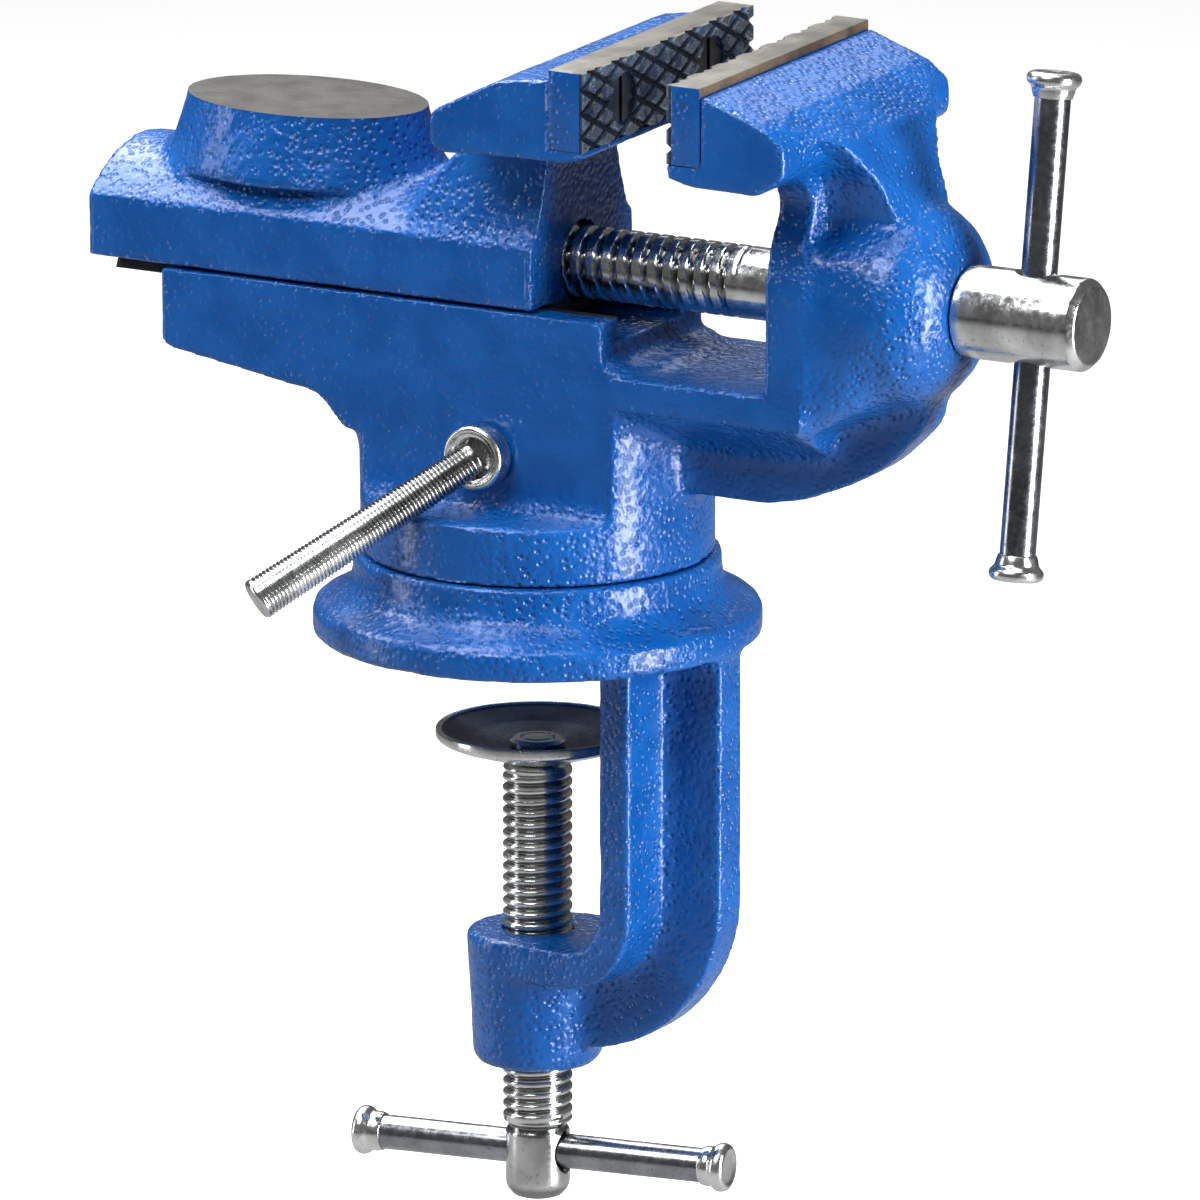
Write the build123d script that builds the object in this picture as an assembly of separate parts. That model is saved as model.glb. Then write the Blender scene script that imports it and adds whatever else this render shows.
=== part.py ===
from build123d import *
import math
import os

# A small clamp-on bench vise with a swivel base, an anvil and a sliding jaw.
# X runs along the main screw towards its handle, Z is up, and the origin is on the swivel axis
# where the base sits on the bench. All lengths are in millimetres.

# Jaws
jaw_width = 60.0
jaw_opening = 15.9
fixed_plate_front = 41.5
moving_plate_front = fixed_plate_front - jaw_opening
fixed_seat = 47.9
moving_seat = 18.7
plate_bottom = 92.5
jaw_top = 106.3
jaw_screw_offset = 15.5
jaw_screw_height = 99.2
jaw_screw_radius = 2.4
jaw_screw_head_radius = 4.6
jaw_screw_depth = 5.2
jaw_screw_sink = 0.9

# Swivel body and slide
body_width = 36.6
rail_top = 60.0
rail_left = -63.6
rail_right = 22.3
window_floor = 51.0
upright_front = 54.0
slide_left = -77.9
slide_right = 8.7
slide_bottom = 60.6
slide_shoulder = 71.2
slide_crown = 78.7
tongue_bottom = 57.3
drum_radius = 30.4
block_left = -28.0
drum_bottom = 14.9
drum_top = 25.0

# Main screw
screw_axis_height = 65.8
screw_radius = 6.25
screw_end = -50.0
boss_radius = 17.8
boss_end = 83.5
screw_head_start = 83.8
screw_head_end = 107.1
screw_head_radius = 8.0
nut_left = -14.0
nut_right = 2.0
nut_half_width = 9.5
nut_top = 74.0
tunnel_left = -70.0
tunnel_gap = 0.75
collar_left = 49.8
collar_right = 52.6
collar_radius = 9.0
washer_left = 52.7
washer_right = 53.8
washer_radius = 9.4
washer_gap = 0.3
pin_radius = 1.0
pin_reach = 8.8
head_chamfer = 1.5
running_gap = 0.08

# Handles
main_bar_radius = 3.1
main_bar_span = 82.2
main_bar_rest = -1.3
main_bar_place = 96.2
main_bar_tilt = 8.9
main_cap_radius = 4.75
main_cap_length = 4.5
clamp_bar_radius = 3.0
clamp_bar_span = 63.9
clamp_bar_rest = 1.05
clamp_bar_height = -92.0
clamp_bar_turn = 7.0
clamp_cap_radius = 4.3
clamp_cap_length = 5.0
bar_gap = 0.25
bar_end_inset = 1.2
cap_foot_lip = 0.7
cap_foot_height = 1.1
cap_rounding = 0.9

# Swivel base and its clamp arm
flange_radius = 38.5
flange_edge = 5.4
neck_radius = 31.5
neck_foot = 9.2
neck_top = 14.6
spigot_radius = 12.0
spigot_foot = 3.0
spigot_top = 42.0
arm_inner = 20.2
arm_outer = 26.5
arm_half_width = 16.0
web_outer = 37.8
web_half_width = 4.0
arm_shelf = -52.7
boss_bottom = -76.2
clamp_boss_radius = 12.2

# Clamp screw and pad
clamp_screw_radius = 6.0
clamp_screw_top = -23.0
clamp_screw_shoulder = -88.0
clamp_screw_bottom = -100.5
clamp_head_radius = 5.55
spindle_radius = 3.0
pad_radius = 17.5
pad_rim = -17.1
pad_under = -22.8
pad_dish = -20.6
pad_hub_radius = 7.2
pad_rim_wall = 1.1
retainer_radius = 4.7
retainer_foot = -20.3
spindle_top = -18.9

# Swivel lock
lock_height = 35.0
lock_screw_radius = 4.0
lock_head_radius = 5.6
lock_head_face = -23.3
lock_head_back = -19.1
lever_tilt = 50.0
lever_clock = 219.7
lever_length = 45.2
lever_root_radius = 3.0
lever_tip_radius = 3.7
lever_sink = 1.6
lock_thread_end = -14.45
plug_base = 14.4
plug_shoulder = 13.5
plug_tip = 11.0
plug_radius = 3.0
plug_tip_radius = 0.5
groove_radius = 10.0
groove_mouth = 2.5
groove_floor = 0.6

half_body = body_width / 2
half_jaw = jaw_width / 2


def side_prism(outline, half_width):
    """A closed X-Z outline, given a width to each side of the middle plane."""
    return extrude(Plane.XZ * make_face(Polyline(*outline, close=True)), half_width, both=True)


def rounded_side_prism(outline, radii, half_width):
    """The same, with a rounding at each corner."""
    edge = FilletPolyline(*outline, radius=radii, close=True)
    return extrude(Plane.XZ * make_face(edge), half_width, both=True)


def cross_prism(outline, start, end):
    """A closed Y-Z outline, run along X from start to end."""
    section = Plane.YZ.offset(start) * make_face(Polyline(*outline, close=True))
    return extrude(section, end - start)


def block(x_span, y_span, z_span):
    """A box between the given limits."""
    size = [high - low for low, high in (x_span, y_span, z_span)]
    middle = [(high + low) / 2 for low, high in (x_span, y_span, z_span)]
    return Pos(*middle) * Box(*size)


def turned(outline, axis=Axis.Z):
    """A solid turned from its half outline: radius and height about Z, or place and radius about X."""
    return revolve(Plane.XZ * make_face(Polyline(*outline, close=True)), axis)


def rod_between(start, end, radius, end_radius=None):
    """A straight rod, or a tapered one, between two points."""
    start, end = Vector(*start), Vector(*end)
    direction = end - start
    plane = Plane(origin=start, z_dir=direction)
    middle = Pos(0, 0, direction.length / 2)
    if end_radius is None:
        return plane * middle * Cylinder(radius, direction.length)
    return plane * middle * Cone(radius, end_radius, direction.length)


def bore_along_x(start, end, radius, y=0.0, z=screw_axis_height):
    """A round tool along X."""
    return rod_between((start, y, z), (end, y, z), radius)


def stack(levels):
    """A tower through rectangles: (height, x low, x high, half width)."""
    sections = []
    for height, low, high, half_width in levels:
        place = Plane.XY.offset(height) * Pos((low + high) / 2, 0)
        sections.append(place * Rectangle(high - low, 2 * half_width))
    return loft(sections, ruled=True)


def jaw_plate_seat(front, seat):
    """Tools for a jaw plate's square seat and the tapped holes behind it."""
    inward = math.copysign(1.0, seat - front)
    low, high = min(front, seat), max(front, seat)
    holes = block((low, high), (-half_jaw - 1, half_jaw + 1), (plate_bottom, jaw_top + 1))
    for side in (-1, 1):
        y = side * jaw_screw_offset
        start, end = seat - inward, seat + inward * jaw_screw_depth
        holes += bore_along_x(start, end, jaw_screw_radius, y, jaw_screw_height)
    return holes


def swivel_drum():
    """The round foot of the body and the flat-sided block above it."""
    foot = Pos(0, 0, (drum_bottom + drum_top) / 2) * Cylinder(drum_radius, drum_top - drum_bottom)
    block_top = rail_top - 8
    column = Pos(0, 0, (drum_top + block_top) / 2 - 1) * Cylinder(drum_radius, block_top - drum_top + 2)
    faces = block((block_left, drum_radius), (-half_body, half_body), (drum_top - 2, block_top))
    return foot + (column & faces)


def rail_beam():
    """The grooved beam that carries the slide, and the bridge to the upright."""
    outline = [(rail_left, rail_top), (rail_left, 46.4), (-32.5, 41.4), (block_left, 36.0), (12, 36.0),
               (24, 45.4), (60, 45.4), (60, window_floor), (rail_right, window_floor), (rail_right, rail_top)]
    radii = [0.4, 2.4, 6, 1, 1, 4, 0.5, 0.5, 0.5, 0.4]
    beam = rounded_side_prism(outline, radii, half_body)
    belly = [(-half_body, window_floor - 2), (-half_body, 45.4), (-web_half_width, 37.7),
             (web_half_width, 37.7), (half_body, 45.4), (half_body, window_floor - 2)]
    return beam + cross_prism(belly, 12, 60)


def upright():
    """The column below the fixed jaw, with its waist, its back rib and the screw boss."""
    half_waist = 13.6
    points = [(half_body, 45.4), (half_body, 71), (16.4, 77), (half_waist, 82), (half_waist, 85.5),
              (16.5, 89.5), (24, 94)]
    outline = points + [(-y, z) for y, z in reversed(points)]
    column = cross_prism(outline, upright_front, 61)
    shoulder_face = Plane.YZ.offset(60) * Pos(0, 60.5) * RectangleRounded(body_width - 1, 34, 6)
    boss_face = Plane.YZ.offset(73) * Pos(0, screw_axis_height) * Circle(boss_radius)
    shoulder = loft([shoulder_face, boss_face])
    boss_profile = [(60, 0), (60, 10), (73, boss_radius), (76.5, 17.1), (79.5, 15.2), (81.8, 12.6),
                    (boss_end, 9.2), (boss_end, 0)]
    boss = Pos(0, 0, screw_axis_height) * turned(boss_profile, Axis.X)
    back = stack([(100.2, 52, 61, 28.5), (96, 52, 68.5, 17), (89, 54, 72, 11),
                  (81, 54, 75.2, 9.2), (66, 54, 78, 9.5)])
    return column + shoulder + boss + back


def keel():
    """The thin rib under the bridge, from the drum to the boss."""
    outline = [(26, 28.4), (46.5, 28.4), (54.2, 30.0), (61.2, 32.8), (69.5, 37.4), (77, 45), (79, 54),
               (62, 56), (40, 44), (26, 40)]
    radii = [1, 12, 20, 20, 20, 8, 2, 2, 2, 2]
    return rounded_side_prism(outline, radii, web_half_width)


def fixed_jaw_head():
    """The casting behind and below the fixed jaw plate."""
    outline = [(fixed_seat, 104.8), (49.2, 104.6), (59.6, 101.0), (63.9, 97.8), (63.9, 92.2), (58.3, 88.6),
               (45.5, 88.9), (41.2, 90), (41.2, plate_bottom), (fixed_seat, plate_bottom)]
    radii = [0.3, 0.5, 5, 3, 2.5, 2, 3, 0.6, 0.4, 0.3]
    return rounded_side_prism(outline, radii, half_jaw)


def body_casting():
    """The swivel body: drum, rails, upright and fixed jaw in one casting."""
    body = swivel_drum() + rail_beam() + upright() + keel() + fixed_jaw_head()
    groove = [(-10.7, rail_top + 1), (-10.7, rail_top), (-12.5, 56.6), (-12.5, 55.5),
              (12.5, 55.5), (12.5, 56.6), (10.7, rail_top), (10.7, rail_top + 1)]
    body -= cross_prism(groove, rail_left - 1, rail_right + 1)
    body -= rod_between((0, 0, drum_bottom - 1), (0, 0, spigot_top + 1.5), spigot_radius + running_gap)
    body -= bore_along_x(50, boss_end + 1, screw_radius + running_gap)
    lock_bore = [(0, -half_body - 1, lock_height), (0, -groove_radius, lock_height)]
    body -= rod_between(*lock_bore, lock_screw_radius + running_gap)
    return body - jaw_plate_seat(fixed_plate_front, fixed_seat)


def anvil():
    """The oval anvil horn on the slide."""
    foot_level, top_level, centre = 76.0, 88.5, -44.8
    foot = Plane.XY.offset(foot_level) * Pos(centre, 0) * Ellipse(26, 18.2)
    top = Plane.XY.offset(top_level) * Pos(centre, 0) * Ellipse(22, 14.5)
    return loft([foot, top])


def moving_jaw_head():
    """The casting behind and below the moving jaw plate."""
    outline = [(moving_seat, 104.6), (18.0, 104.3), (8.7, 103.3), (-4.6, 96.4), (-4.4, 89.5), (10.4, 90.1),
               (22.0, 90.4), (25.3, 91.4), (25.3, plate_bottom), (moving_seat, plate_bottom)]
    radii = [0.2, 0.3, 12, 2.6, 2.6, 10, 1, 0.5, 0.3, 0.3]
    return rounded_side_prism(outline, radii, half_jaw)


def slide_casting():
    """The sliding jaw: arched bar, dovetail tongue, anvil, neck and jaw head."""
    walls = Polyline((-half_body, slide_shoulder), (-half_body, slide_bottom), (half_body, slide_bottom),
                     (half_body, slide_shoulder))
    crown = ThreePointArc((half_body, slide_shoulder), (0, slide_crown), (-half_body, slide_shoulder))
    bar = extrude(Plane.YZ.offset(slide_left) * make_face(walls + crown), slide_right - slide_left)
    tongue = [(-10.3, slide_bottom + 1), (-10.3, slide_bottom), (-12.1, tongue_bottom), (12.1, tongue_bottom),
              (10.3, slide_bottom), (10.3, slide_bottom + 1)]
    neck = stack([(70, -17.5, slide_right, 17.6), (79, -14.5, slide_right, 14), (86, -8.5, slide_right, 12.3),
                  (93, -3, 12, 12.3)])
    slide = bar + cross_prism(tongue, slide_left + 1.5, slide_right) + anvil() + neck + moving_jaw_head()
    slide -= bore_along_x(tunnel_left, slide_right + 1, screw_radius + tunnel_gap)
    slide -= nut_block(tongue_bottom - 1)
    return slide - jaw_plate_seat(moving_plate_front, moving_seat)


def nut_block(bottom):
    """The square nut's outside, down to the given height."""
    return block((nut_left, nut_right), (-nut_half_width, nut_half_width), (bottom, nut_top))


def lead_nut():
    """The square nut that the main screw drives."""
    bore = bore_along_x(nut_left - 1, nut_right + 1, screw_radius + running_gap)
    return nut_block(tongue_bottom + 0.3) - bore


def jaw_plate(front, seat):
    """A steel jaw plate with two countersunk screw holes, its working face at front."""
    low, high = min(front, seat), max(front, seat)
    plate = block((low, high), (-half_jaw, half_jaw), (plate_bottom, jaw_top))
    for side in (-1, 1):
        plate -= jaw_screw(front, seat, side * jaw_screw_offset)
        plate -= jaw_screw_mouth(front, seat, side * jaw_screw_offset)
    return plate


def jaw_screw(front, seat, y):
    """A countersunk screw, flush in the plate and threaded into the casting."""
    inward = math.copysign(1.0, seat - front)
    head_front = front + inward * jaw_screw_sink
    head_depth = jaw_screw_head_radius - jaw_screw_radius
    z = jaw_screw_height
    head = rod_between((head_front, y, z), (head_front + inward * head_depth, y, z),
                       jaw_screw_head_radius, jaw_screw_radius)
    shank_end = seat + inward * (jaw_screw_depth - 0.2)
    shank = bore_along_x(head_front + inward * head_depth, shank_end, jaw_screw_radius, y, z)
    return head + shank


def jaw_screw_mouth(front, seat, y):
    """The clear mouth in front of a jaw screw's head."""
    inward = math.copysign(1.0, seat - front)
    sunk = front + inward * jaw_screw_sink
    return bore_along_x(front - inward, sunk, jaw_screw_head_radius, y, jaw_screw_height)


def jaw_screws(front, seat):
    """Both screws of one jaw plate."""
    return [jaw_screw(front, seat, side * jaw_screw_offset) for side in (-1, 1)]


def main_bar_direction():
    tilt = math.radians(main_bar_tilt)
    return Vector(0, math.sin(tilt), math.cos(tilt))


def clamp_bar_direction():
    turn = math.radians(clamp_bar_turn)
    return Vector(math.cos(turn), math.sin(turn), 0)


def handle_rod(centre, direction, half_length, radius):
    """A round rod, centred on a point."""
    return rod_between(centre - direction * half_length, centre + direction * half_length, radius)


def lead_screw():
    """The main screw with its cross-drilled head."""
    centre = Vector(main_bar_place, 0, screw_axis_height)
    profile = [(screw_end, 0), (screw_end, screw_radius - head_chamfer),
               (screw_end + head_chamfer, screw_radius),
               (screw_head_start, screw_radius), (screw_head_start, screw_head_radius),
               (screw_head_end - head_chamfer, screw_head_radius),
               (screw_head_end, screw_head_radius - head_chamfer), (screw_head_end, 0)]
    screw = Pos(0, 0, screw_axis_height) * turned(profile, Axis.X)
    screw -= handle_rod(centre, main_bar_direction(), 12, main_bar_radius + bar_gap)
    return screw - collar_pin()


def collar_pin():
    """The cross pin that locks the collar to the screw."""
    place = (collar_left + collar_right) / 2
    low, high = screw_axis_height - pin_reach, screw_axis_height + pin_reach
    return rod_between((place, 0, low), (place, 0, high), pin_radius)


def ring_along_x(start, end, outer, inner):
    """A flat ring on the main screw."""
    return bore_along_x(start, end, outer) - bore_along_x(start - 1, end + 1, inner)


def base_casting():
    """The round swivel base, its clamp arm and the threaded boss for the clamp screw."""
    foot_profile = [(0, 0), (flange_radius - 0.6, 0), (flange_radius, 0.6),
                    (flange_radius, flange_edge - 0.8),
                    (flange_radius - 0.8, flange_edge), (34.6, 6.9), (neck_radius + 0.4, neck_foot - 0.7),
                    (neck_radius, neck_foot + 0.4), (neck_radius, neck_top - 0.4),
                    (neck_radius - 0.4, neck_top), (0, neck_top)]
    base = turned(foot_profile) + clamp_arm()
    base -= rod_between((0, 0, spigot_foot), (0, 0, neck_top + 1), spigot_radius)
    bore_radius = clamp_screw_radius + running_gap
    return base - rod_between((0, 0, arm_shelf + 1), (0, 0, boss_bottom - 1), bore_radius)


def clamp_arm():
    """The T-section arm that hooks below the bench."""
    flange_thickness = arm_outer - arm_inner
    shelf_under = arm_shelf - flange_thickness
    outline = [(arm_inner, 2), (arm_inner, arm_shelf), (0, arm_shelf), (0, shelf_under),
               (arm_outer, shelf_under), (arm_outer, 2)]
    radii = [0.3, 8.5, 0.3, 0.3, 14.8, 0.3]
    flange = rounded_side_prism(outline, radii, arm_half_width)
    boss_plan = Circle(clamp_boss_radius - 0.2)
    arm_plan = Pos(arm_outer, 0) * Rectangle(2, 2 * arm_half_width)
    plan = make_hull(boss_plan.edges() + arm_plan.edges())
    flange &= extrude(Plane.XY.offset(-70) * plan, 75)
    web_outline = [(24, 2), (web_outer, 2), (web_outer, -72), (0, -72), (0, -56), (24, -56)]
    web_radii = [0.3, 0.3, 29.0, 0.3, 0.3, 12]
    web = rounded_side_prism(web_outline, web_radii, web_half_width)
    boss_profile = [(0, arm_shelf), (clamp_boss_radius - 0.8, arm_shelf),
                    (clamp_boss_radius, arm_shelf - 0.8), (clamp_boss_radius - 1.1, boss_bottom + 1.8),
                    (clamp_boss_radius - 1.9, boss_bottom + 0.5), (clamp_boss_radius - 3.1, boss_bottom),
                    (0, boss_bottom)]
    return flange + web + turned(boss_profile)


def swivel_spigot():
    """The turned post that the body swivels on, with the groove for the lock plug."""
    profile = [(0, spigot_foot), (spigot_radius, spigot_foot), (spigot_radius, lock_height - groove_mouth),
               (groove_radius, lock_height - groove_floor), (groove_radius, lock_height + groove_floor),
               (spigot_radius, lock_height + groove_mouth), (spigot_radius, spigot_top - 1),
               (spigot_radius - 1, spigot_top), (0, spigot_top)]
    return turned(profile)


def lever_direction():
    tilt, clock = math.radians(lever_tilt), math.radians(lever_clock)
    return Vector(math.cos(clock) * math.sin(tilt), -math.cos(tilt), math.sin(clock) * math.sin(tilt))


def lock_lever():
    """The ridged lever rod set at a slant in the lock screw's head."""
    root = Vector(0, lock_head_face + lever_sink, lock_height)
    return rod_between(root, root + lever_direction() * lever_length, lever_root_radius, lever_tip_radius)


def lock_place():
    """The lock's axis, pointing outwards from the spigot."""
    return Plane(origin=(0, 0, lock_height), x_dir=(1, 0, 0), z_dir=(0, -1, 0))


def lock_screw():
    """The swivel lock screw: dished round head and short thread."""
    profile = [(0, -lock_head_face - 1.2), (2.6, -lock_head_face - 1.0),
               (lock_head_radius - 1.1, -lock_head_face),
               (lock_head_radius - 0.4, -lock_head_face), (lock_head_radius, -lock_head_face - 0.4),
               (lock_head_radius, -lock_head_back), (lock_screw_radius, -lock_head_back),
               (lock_screw_radius, -lock_thread_end), (0, -lock_thread_end)]
    return lock_place() * turned(profile) - lock_lever()


def lock_plug():
    """The pointed plug between the lock screw and the spigot's groove."""
    profile = [(0, plug_tip), (plug_tip_radius, plug_tip), (plug_radius, plug_shoulder),
               (plug_radius, plug_base), (0, plug_base)]
    return lock_place() * turned(profile)


def clamp_screw():
    """The clamp screw with its spindle on top and its cross-drilled head below."""
    profile = [(0, spindle_top), (spindle_radius, spindle_top), (spindle_radius, clamp_screw_top),
               (clamp_screw_radius - 1, clamp_screw_top), (clamp_screw_radius, clamp_screw_top - 1),
               (clamp_screw_radius, clamp_screw_shoulder), (clamp_head_radius, clamp_screw_shoulder),
               (clamp_head_radius, clamp_screw_bottom + 2.2),
               (clamp_head_radius - 0.7, clamp_screw_bottom + 0.7),
               (clamp_head_radius - 2.2, clamp_screw_bottom), (0, clamp_screw_bottom)]
    centre = Vector(0, 0, clamp_bar_height)
    return turned(profile) - handle_rod(centre, clamp_bar_direction(), 10, clamp_bar_radius + bar_gap)


def clamp_pad():
    """The dished pad that presses the underside of the bench."""
    hole = spindle_radius + running_gap
    profile = [(hole, pad_under), (pad_hub_radius, pad_under), (pad_radius, pad_rim - 1.9),
               (pad_radius, pad_rim - 0.3), (pad_radius - 0.3, pad_rim), (pad_radius - pad_rim_wall, pad_rim),
               (pad_hub_radius + 1.3, pad_dish + 0.4), (hole, pad_dish)]
    return turned(profile)


def pad_retainer():
    """The ring staked on the spindle above the pad."""
    top = spindle_top - 0.1
    profile = [(spindle_radius, retainer_foot), (retainer_radius, retainer_foot),
               (retainer_radius, retainer_foot + 0.7), (retainer_radius - 0.7, top), (spindle_radius, top)]
    return turned(profile)


def handle_set(name, centre, direction, span, bar_radius, cap_length, cap_radius, cap_names):
    """A sliding bar with a cap on each end."""
    half_span = span / 2
    reach = half_span + cap_length / 2 - bar_end_inset
    pieces = {name: handle_rod(centre, direction, reach, bar_radius)}
    for cap_name, side in zip(cap_names, (1, -1)):
        outward = direction * side
        foot = Plane(origin=centre + outward * (half_span - cap_length / 2), z_dir=outward)
        profile = [(0, 0), (bar_radius + cap_foot_lip, 0), (cap_radius, cap_foot_height),
                   (cap_radius, cap_length - cap_rounding), (cap_radius - cap_rounding, cap_length),
                   (0, cap_length)]
        pieces[cap_name] = foot * turned(profile) - handle_rod(centre, direction, reach, bar_radius)
    return pieces


def write_nodes(nodes):
    os.makedirs("parts", exist_ok=True)
    for name, shape in nodes.items():
        solids = shape if isinstance(shape, list) else shape.solids()
        export_step(Compound(children=list(solids)) if len(solids) > 1 else solids[0], f"parts/{name}.step")


nodes = {
    "body_casting": body_casting(),
    "slide_casting": slide_casting(),
    "fixed_jaw_plate": jaw_plate(fixed_plate_front, fixed_seat),
    "moving_jaw_plate": jaw_plate(moving_plate_front, moving_seat),
    "fixed_jaw_screws": jaw_screws(fixed_plate_front, fixed_seat),
    "moving_jaw_screws": jaw_screws(moving_plate_front, moving_seat),
    "lead_screw": lead_screw(),
    "lead_nut": lead_nut(),
    "thrust_washer": ring_along_x(washer_left, washer_right, washer_radius, screw_radius + washer_gap),
    "retaining_collar": ring_along_x(collar_left, collar_right, collar_radius, screw_radius) - collar_pin(),
    "collar_pin": collar_pin(),
    "base_casting": base_casting(),
    "swivel_spigot": swivel_spigot(),
    "lock_screw": lock_screw(),
    "lock_lever": lock_lever(),
    "lock_plug": lock_plug(),
    "clamp_screw": clamp_screw(),
    "clamp_pad": clamp_pad(),
    "pad_retainer": pad_retainer(),
}
main_bar_centre = Vector(main_bar_place, 0, screw_axis_height) + main_bar_direction() * main_bar_rest
clamp_bar_centre = Vector(0, 0, clamp_bar_height) + clamp_bar_direction() * clamp_bar_rest
nodes |= handle_set("main_handle_bar", main_bar_centre, main_bar_direction(), main_bar_span, main_bar_radius,
                    main_cap_length, main_cap_radius, ("main_handle_upper_cap", "main_handle_lower_cap"))
nodes |= handle_set("clamp_handle_bar", clamp_bar_centre, clamp_bar_direction(), clamp_bar_span,
                    clamp_bar_radius, clamp_cap_length, clamp_cap_radius,
                    ("clamp_handle_right_cap", "clamp_handle_left_cap"))
write_nodes(nodes)
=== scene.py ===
import math

import bmesh
import bpy
import numpy as np
from mathutils import Matrix, Vector


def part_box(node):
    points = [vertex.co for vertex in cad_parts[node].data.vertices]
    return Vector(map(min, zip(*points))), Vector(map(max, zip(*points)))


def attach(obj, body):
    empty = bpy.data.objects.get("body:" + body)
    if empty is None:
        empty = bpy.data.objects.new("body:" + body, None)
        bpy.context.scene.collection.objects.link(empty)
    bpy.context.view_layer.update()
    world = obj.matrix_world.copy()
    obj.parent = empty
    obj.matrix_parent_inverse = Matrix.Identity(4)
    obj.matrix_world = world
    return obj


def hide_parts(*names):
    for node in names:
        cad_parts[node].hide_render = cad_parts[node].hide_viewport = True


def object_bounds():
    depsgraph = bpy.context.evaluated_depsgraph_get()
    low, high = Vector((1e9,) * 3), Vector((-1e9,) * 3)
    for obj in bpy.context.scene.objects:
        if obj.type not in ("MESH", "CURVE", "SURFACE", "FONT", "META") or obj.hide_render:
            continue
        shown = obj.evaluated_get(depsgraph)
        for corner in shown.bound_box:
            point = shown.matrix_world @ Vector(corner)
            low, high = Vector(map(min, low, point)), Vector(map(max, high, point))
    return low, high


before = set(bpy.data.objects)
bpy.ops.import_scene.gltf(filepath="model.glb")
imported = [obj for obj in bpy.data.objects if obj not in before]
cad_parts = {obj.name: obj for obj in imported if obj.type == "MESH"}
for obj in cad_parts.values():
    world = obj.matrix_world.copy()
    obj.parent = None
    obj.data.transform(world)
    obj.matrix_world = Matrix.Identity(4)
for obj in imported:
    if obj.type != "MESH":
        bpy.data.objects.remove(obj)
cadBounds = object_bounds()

mm = 0.001


def newObject(name, mesh):
    made = bpy.data.objects.new(name, mesh)
    bpy.context.scene.collection.objects.link(made)
    return made


def meshFrom(name, points, faces):
    mesh = bpy.data.meshes.new(name)
    mesh.from_pydata([tuple(p) for p in points], [], [tuple(f) for f in faces])
    mesh.update()
    return mesh


def flattened(thing):
    # bakes an object's modifiers into a plain mesh
    bpy.context.view_layer.update()
    graph = bpy.context.evaluated_depsgraph_get()
    result = bpy.data.meshes.new_from_object(thing.evaluated_get(graph))
    old = thing.data
    thing.modifiers.clear()
    thing.data = result
    bpy.data.meshes.remove(old)
    return thing


def cut(thing, tools, operation="DIFFERENCE"):
    for tool in tools:
        step = thing.modifiers.new("cut", "BOOLEAN")
        step.operation, step.solver, step.object = operation, "EXACT", tool
    flattened(thing)
    for tool in tools:
        bpy.data.objects.remove(tool)
    return thing


def shade(thing, angle=35):
    mesh = thing.data
    mesh.shade_smooth()
    mesh.set_sharp_from_angle(angle=math.radians(angle))
    return thing


def finishPiece(thing, body, nodes, materials, angle=35):
    numbers = np.zeros(len(thing.data.polygons), dtype=np.int32)
    thing.data.polygons.foreach_get("material_index", numbers)
    thing.data.materials.clear()
    for material in materials:
        thing.data.materials.append(material)
    thing.data.polygons.foreach_set("material_index", np.minimum(numbers, len(materials) - 1))
    shade(thing, angle)
    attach(thing, body)
    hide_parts(*nodes)
    return thing


def axisFrame(origin, direction):
    # a matrix whose Z runs along direction
    turn = Vector(direction).normalized().to_track_quat("Z", "Y").to_matrix().to_4x4()
    return Matrix.Translation(Vector(origin)) @ turn


def turnedMesh(name, stations, place, segments=64, thread=None):
    # stations are (height, radius) along the axis; thread is (pitch, depth, first, last, shape)
    heights = np.array([s[0] for s in stations])
    radii = np.array([s[1] for s in stations])
    angles = np.arange(segments) * 2 * math.pi / segments
    grid = np.repeat(radii[:, None], segments, axis=1)
    if thread:
        pitch, depth, first, last, shape = thread
        phase = (heights[:, None] - pitch * angles[None, :] / (2 * math.pi)) / pitch
        groove = shape(phase - np.floor(phase))
        fade = np.clip((heights - first) / pitch, 0, 1) * np.clip((last - heights) / pitch, 0, 1)
        grid = grid - depth * groove * fade[:, None]
    levels = np.repeat(heights[:, None], segments, axis=1)
    ring = np.stack([grid * np.cos(angles), grid * np.sin(angles), levels], -1)
    points = [place @ Vector(p) for p in ring.reshape(-1, 3)]
    faces = []
    for row in range(len(stations) - 1):
        for col in range(segments):
            after = (col + 1) % segments
            faces.append((row * segments + col, row * segments + after,
                          (row + 1) * segments + after, (row + 1) * segments + col))
    last = (len(stations) - 1) * segments
    for start, height, order in ((0, heights[0], -1), (last, heights[-1], 1)):
        pole = len(points)
        points.append(place @ Vector((0, 0, height)))
        for col in range(segments):
            pair = (start + col, start + (col + 1) % segments)
            faces.append((pole,) + pair[::order])
    return meshFrom(name, points, faces)


def turnedPiece(name, stations, origin, direction, segments=64, thread=None):
    return newObject(name, turnedMesh(name, stations, axisFrame(origin, direction), segments, thread))


def rounded(profile, radius=0.35 * mm, steps=4):
    # softens each inner corner of a (height, radius) profile with a short arc
    result = [profile[0]]
    for before, corner, after in zip(profile, profile[1:], profile[2:]):
        here, back, ahead = Vector(corner), Vector(before) - Vector(corner), Vector(after) - Vector(corner)
        reach = min(radius, back.length * 0.45, ahead.length * 0.45)
        if reach < 1e-6:
            result.append(corner)
            continue
        start, end = here + back.normalized() * reach, here + ahead.normalized() * reach
        for step in range(steps + 1):
            t = step / steps
            result.append(tuple(start * (1 - t) ** 2 + here * 2 * t * (1 - t) + end * t * t))
    result.append(profile[-1])
    return result


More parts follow.
